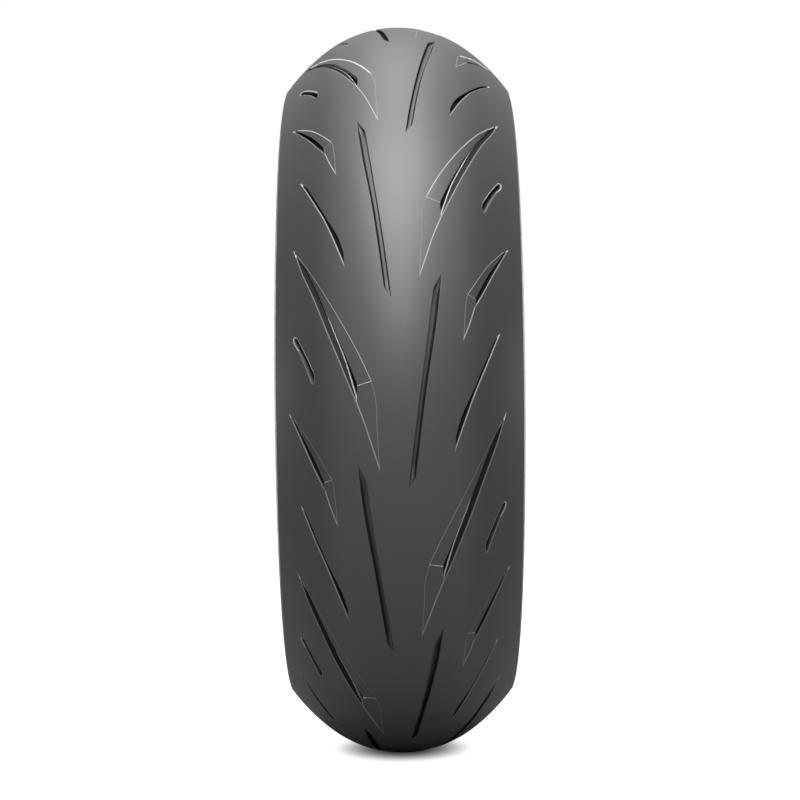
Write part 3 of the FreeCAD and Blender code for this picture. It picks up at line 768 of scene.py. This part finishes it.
def fabric(name, colour, cords, weft):
    """Rubber-coated fabric: cords side by side, and for a square weave others across them."""
    made = new_finish(name)
    turn, across, radius = made.wheel_place()
    height = made.wave(turn * float(cords))
    if weft:
        other = made.wave((across.math("ABSOLUTE", across) + radius) * (math.pi / WEFT_SPACING))
        height = height.math("MAXIMUM", height, other)
    fuzz = made.noise(FUZZ_SCALE, 4.0)
    return made.finish(
        Base_Color=made.blend(height * 0.7 + fuzz * 0.3, *shades(colour, 0.3)),
        Roughness=0.75 + (fuzz - 0.5) * 0.15,
        Normal=made.bump(height + fuzz * 0.2, 0.15 * MM),
    )


def coated_steel(name, colour, roughness):
    """Drawn steel wire with a thin metal coating: bright, streaked along the wire, a little stained."""
    made = new_finish(name)
    _, across, radius = made.wheel_place()
    streak = made.wave((radius + across) * (math.pi / STREAK_SPACING) + made.noise(60.0) * 6.0)
    stain = made.noise(STAIN_SCALE, 4.0)
    return made.finish(
        Base_Color=made.blend(stain, *shades(colour, 0.2)),
        Metallic=1.0,
        Roughness=roughness + (streak - 0.5) * 0.12 + (stain - 0.5) * 0.1,
        Normal=made.bump(streak, 0.02 * MM),
    )


# ---- the stage ----


AMBIENT, BACKDROP = 0.06, 0.6

# The floor: half its width, the reach of the painted contact shadow across the tyre and the part that
# counts of a distance along it, and the floor's tone in the painted shadow and further out.
FLOOR_REACH = 60.0
SHADOW_REACH, SHADOW_SQUEEZE = 0.066, 0.8
PAINTED_SHADOW_TONE, FLOOR_TONE = (0.04, 0.04, 0.04, 1.0), (0.3, 0.3, 0.3, 1.0)

# Lamps stand this far from the wheel centre. Those of the arch over the tread run from low in front to
# behind it: elevation, width and strength, with one height. Those on each side have a bearing, elevation,
# width, height and strength.
LAMP_REACH = 2.0
ARCH = [(28, 0.6, 12.0), (50, 1.3, 10.5), (70, 1.6, 9.5), (92, 0.8, 4.5), (110, 0.9, 3.0)]
ARCH_HEIGHT = 0.7
SIDE_LAMPS = [(102, 0, 0.6, 0.45, 3.2), (145, 0, 0.7, 0.9, 5.0)]

LENS, SENSOR = 95.43, 36.0
CAMERA_DISTANCE, CAMERA_HEIGHT, AIM_HEIGHT, CAMERA_TILT = 1.8995, -4.0 * MM, -8.7 * MM, 0.49


def make_floor():
    """A wide pale floor that runs out into white, with the lamps' shadow and a painted contact shadow."""
    mesh = bpy.data.meshes.new("floor")
    low = float(CAD_LOW[2])
    signs = [(-1, -1), (1, -1), (1, 1), (-1, 1)]
    mesh.from_pydata([(x * FLOOR_REACH, y * FLOOR_REACH, low) for x, y in signs], [], [(0, 1, 2, 3)])
    floor = bpy.data.objects.new("floor", mesh)
    bpy.context.scene.collection.objects.link(floor)
    made = new_finish("pale_floor")
    seen = made.add("ShaderNodeLightPath", output="Is Camera Ray")
    forward, across = (made.add("ShaderNodeSeparateXYZ", None, {0: made.place()}, output=axis)
                       for axis in "XY")
    # Painted shadow: round the tyre's foot the floor's colour is darkened and its glow to the eye held back.
    away = made.ramp(across**2 + (forward * SHADOW_SQUEEZE) ** 2, 0.0, SHADOW_REACH**2)
    base = made.blend(away, PAINTED_SHADOW_TONE, FLOOR_TONE)
    glow = away * seen
    floor.data.materials.append(made.finish(Base_Color=base, Roughness=0.95, Emission_Color=glow,
                                            Emission_Strength=1.0))


def make_world():
    """White for the eye, a paler backdrop behind for reflections, and a soft even light."""
    world = bpy.data.worlds.new("studio")
    bpy.context.scene.world = world
    made = Finish(world, "Background")
    heading = made.add("ShaderNodeTexCoord", output="Generated")
    forward = made.add("ShaderNodeSeparateXYZ", None, {0: heading}, output="X")
    seen, mirrored, through = (made.add("ShaderNodeLightPath", output=f"Is {kind} Ray")
                               for kind in ("Camera", "Glossy", "Transmission"))
    share = seen.math("MAXIMUM", seen, through)
    share = share.math("MAXIMUM", share, made.ramp(forward, -0.2, -0.8) * mirrored * BACKDROP)
    soft, white = (AMBIENT, AMBIENT, AMBIENT, 1.0), (1.0, 1.0, 1.0, 1.0)
    made.finish(Color=made.blend(share, soft, white), Strength=1.0)


def make_light(name, bearing, elevation, width, height, strength):
    """A soft panel lamp that faces the wheel centre. Its bearing turns from the front to the right side."""
    lamp = bpy.data.lights.new(name, "AREA")
    lamp.shape = "RECTANGLE"
    lamp.size, lamp.size_y = width, height
    lamp.energy = math.pi * width * height * strength
    light = bpy.data.objects.new(name, lamp)
    flat = LAMP_REACH * math.cos(math.radians(elevation))
    bearing = math.radians(bearing)
    rise = LAMP_REACH * math.sin(math.radians(elevation))
    light.location = (flat * math.cos(bearing), flat * math.sin(bearing), rise)
    light.rotation_euler = (-light.location).to_track_quat("-Z", "Y").to_euler()
    bpy.context.scene.collection.objects.link(light)


def make_camera():
    """Level with the axle, square to the tread, aimed a little below the centre and slightly tilted."""
    camera = bpy.data.cameras.new("camera")
    camera.lens, camera.sensor_width = LENS, SENSOR
    holder = bpy.data.objects.new("camera", camera)
    bpy.context.scene.collection.objects.link(holder)
    bpy.context.scene.camera = holder
    holder.location = (CAMERA_DISTANCE, 0, CAMERA_HEIGHT)
    look = (Vector((0, 0, AIM_HEIGHT)) - holder.location).to_track_quat("-Z", "Y").to_matrix().to_4x4()
    roll = Matrix.Rotation(math.radians(-CAMERA_TILT), 4, "Z")
    holder.matrix_world = Matrix.Translation(holder.location) @ look @ roll


def make_finishes():
    """A finish for each material slot of the record, and a lighter, smoother one for the wall marks."""
    kinds = {
        "tread_rubber": (rubber, (0.056, 0.058, 0.062), 0.46, 0.04 * MM, None, True),
        "sidewall_rubber": (rubber, (0.04, 0.042, 0.044), 0.44, 0.04 * MM, turned_rings),
        "hard_rubber": (rubber, (0.026, 0.027, 0.028), 0.38, 0.03 * MM, turned_rings),
        "liner_rubber": (rubber, (0.03, 0.031, 0.033), 0.34, 0.03 * MM, bladder_ribs),
        "base_rubber": (rubber, (0.03, 0.03, 0.031), 0.7, 0.05 * MM),
        "mark_rubber": (rubber, (0.085, 0.088, 0.092), 0.36, 0.02 * MM),
        "ply_fabric": (fabric, (0.11, 0.095, 0.075), 1400, False),
        "chafer_fabric": (fabric, (0.05, 0.05, 0.05), 1200, True),
        "steel_cord": (coated_steel, (0.55, 0.46, 0.27), 0.32),
        "bead_steel": (coated_steel, (0.58, 0.42, 0.26), 0.3),
    }
    return {name: make(name, *settings) for name, (make, *settings) in kinds.items()}


def dress():
    """Every piece that shows gets its finish."""
    finishes = make_finishes()
    for entry in frame["record"]["subparts"]:
        for slot in frame["nodes"][entry["node"]].material_slots:
            slot.material = finishes[entry["material_slot"]]
    tread = make_tread()
    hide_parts("tread_cap_centre", "tread_cap_left", "tread_cap_right")
    pieces = [
        (tread, "tread_rubber", "tread_rubber"),
        (make_wall_marks("wall_marks_left", -1), "sidewall_rubber", "mark_rubber"),
        (make_wall_marks("wall_marks_right", 1), "sidewall_rubber", "mark_rubber"),
    ]
    for piece, slot, finish in pieces:
        piece.data.materials.append(finishes[finish])
        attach(piece, "root")


def light():
    """The arch of lamps over the tread and the lamps on both sides."""
    for elevation, width, strength in ARCH:
        make_light(f"arch_{elevation}", 0, elevation, width, ARCH_HEIGHT, strength)
    for bearing, elevation, width, height, strength in SIDE_LAMPS:
        make_light(f"left_{bearing}", -bearing, elevation, width, height, strength)
        make_light(f"right_{bearing}", bearing, elevation, width, height, strength)


bpy.context.scene.view_settings.view_transform = "Standard"
dress()
make_floor()
make_world()
light()
make_camera()
